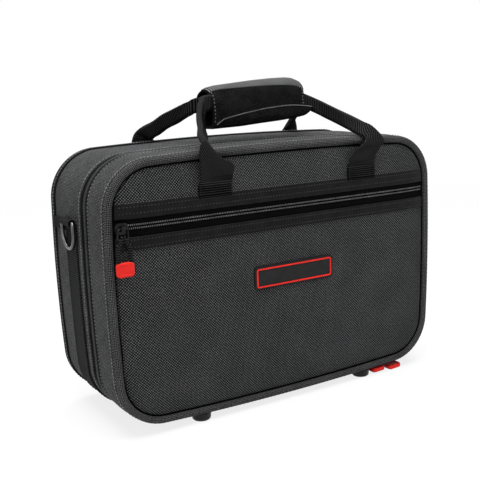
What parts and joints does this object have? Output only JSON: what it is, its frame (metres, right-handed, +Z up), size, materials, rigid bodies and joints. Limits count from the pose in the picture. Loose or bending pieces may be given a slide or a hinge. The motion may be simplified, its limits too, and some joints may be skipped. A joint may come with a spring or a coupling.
{
  "type": "clarinet case",
  "caption": "Soft-sided clarinet case that stands on feet, with a zipped lid, a front pocket, two carrying straps joined by a peel-open grip, side rings and a fitted plush insert.",
  "frame": {"origin": "on the floor, under the middle of the whole part's box", "axes": "+X runs right along the front, the front panel faces -Y, +Z is up"},
  "size_m": [0.355, 0.1372, 0.2899],
  "materials": {
    "ballistic_weave": "matte",
    "gusset_twill": "matte",
    "binding": "matte",
    "webbing": "matte",
    "coated_strip": "gloss",
    "zip_tape": "matte",
    "coil": "satin",
    "loop_fabric": "matte",
    "slider_metal": "satin",
    "ring_metal": "satin",
    "black_rubber": "matte",
    "red_rubber": "satin",
    "foam": "matte",
    "plush": "matte"
  },
  "bodies": {
    "base": {"base_foam": "foam", "rear_gusset": "gusset_twill", "rear_panel": "ballistic_weave", "rear_binding": "binding", "base_zip_tape": "zip_tape", "base_zip_coil": "coil", "zip_stops": "webbing", "hinge_fabric": "gusset_twill", "clarinet_insert": "plush", "side_webbing": "webbing", "ring_tab_right": "webbing", "ring_tab_left": "webbing", "rear_feet": "black_rubber", "rear_strap_ends": "webbing"},
    "rear_handle": {"rear_strap": "webbing"},
    "lid": {"lid_foam": "foam", "front_gusset": "gusset_twill", "front_piping": "gusset_twill", "lid_zip_tape": "zip_tape", "lid_zip_coil": "coil", "lid_pad": "plush", "pocket_lining": "plush", "front_panel_upper": "ballistic_weave", "front_panel_lower": "ballistic_weave", "pocket_flange_upper": "coated_strip", "pocket_flange_lower": "coated_strip", "pocket_tape_upper": "zip_tape", "pocket_tape_lower": "zip_tape", "pocket_coil": "coil", "badge_plate": "black_rubber", "badge_frame": "red_rubber", "front_feet": "black_rubber", "front_strap_ends": "webbing"},
    "front_handle": {"front_strap": "webbing", "grip_wrap": "loop_fabric"},
    "grip_cover": {"grip_flap": "loop_fabric"},
    "pocket_runner": {"pocket_slider": "slider_metal"},
    "pocket_pull": {"pocket_pull_loop": "slider_metal", "pocket_puller": "black_rubber", "pocket_pull_tip": "red_rubber"},
    "main_runner_a": {"main_a_slider": "slider_metal"},
    "main_pull_a": {"main_a_pull_loop": "slider_metal", "main_a_puller": "black_rubber", "main_a_pull_tip": "red_rubber"},
    "main_runner_b": {"main_b_slider": "slider_metal"},
    "main_pull_b": {"main_b_pull_loop": "slider_metal", "main_b_puller": "black_rubber", "main_b_pull_tip": "red_rubber"},
    "ring_right": {"d_ring_right": "ring_metal"},
    "ring_left": {"d_ring_left": "ring_metal"}
  },
  "joints": [
    {"name": "lid_hinge", "type": "hinge", "parent": "base", "child": "lid", "pos_m": [0, -0.015, 0.006], "axis": [1, 0, 0], "range_deg": [0, 150], "deforming": ["hinge_fabric", "base_zip_tape", "base_zip_coil", "lid_zip_tape", "lid_zip_coil"]},
    {"name": "front_handle_swing", "type": "hinge", "parent": "lid", "child": "front_handle", "pos_m": [0, -0.0638, 0.2095], "axis": [1, 0, 0], "range_deg": [0, 150]},
    {"name": "rear_handle_swing", "type": "hinge", "parent": "base", "child": "rear_handle", "pos_m": [0, 0.066, 0.2095], "axis": [-1, 0, 0], "range_deg": [0, 150]},
    {"name": "grip_flap_peel", "type": "hinge", "parent": "front_handle", "child": "grip_cover", "pos_m": [0, 0.0061, 0.2899], "axis": [1, 0, 0], "range_deg": [0, 120], "deforming": ["grip_flap"]},
    {"name": "pocket_zip_slide", "type": "slide", "parent": "lid", "child": "pocket_runner", "axis": [1, 0, 0], "range_m": [0, 0.306]},
    {"name": "pocket_pull_swing", "type": "hinge", "parent": "pocket_runner", "child": "pocket_pull", "pos_m": [-0.15852, -0.0664, 0.1818], "axis": [-1, 0, 0], "range_deg": [0, 165]},
    {"name": "main_a_slide", "type": "slide", "parent": "lid", "child": "main_runner_a", "axis": [0.9994, 0, 0.0355], "range_m": [0, 0.006]},
    {"name": "main_a_pull_swing", "type": "hinge", "parent": "main_runner_a", "child": "main_pull_a", "pos_m": [0.10817, -0.015, 0.00402], "axis": [0.9994, 0, 0.0355], "range_deg": [0, 165]},
    {"name": "main_b_travel", "type": "hinge", "parent": "lid", "child": "main_runner_b", "pos_m": [0.12644, -0.015, 0.05166], "axis": [0, -1, 0], "range_deg": [0, 76]},
    {"name": "main_b_pull_swing", "type": "hinge", "parent": "main_runner_b", "child": "main_pull_b", "pos_m": [0.1293, -0.015, 0.00485], "axis": [0.9981, 0, 0.061], "range_deg": [0, 165]},
    {"name": "ring_right_swing", "type": "hinge", "parent": "base", "child": "ring_right", "pos_m": [0.17435, 0.0155, 0.1785], "axis": [0, -1, 0], "range_deg": [0, 150]},
    {"name": "ring_left_swing", "type": "hinge", "parent": "base", "child": "ring_left", "pos_m": [-0.17435, 0.0155, 0.1785], "axis": [0, 1, 0], "range_deg": [0, 150]}
  ]
}
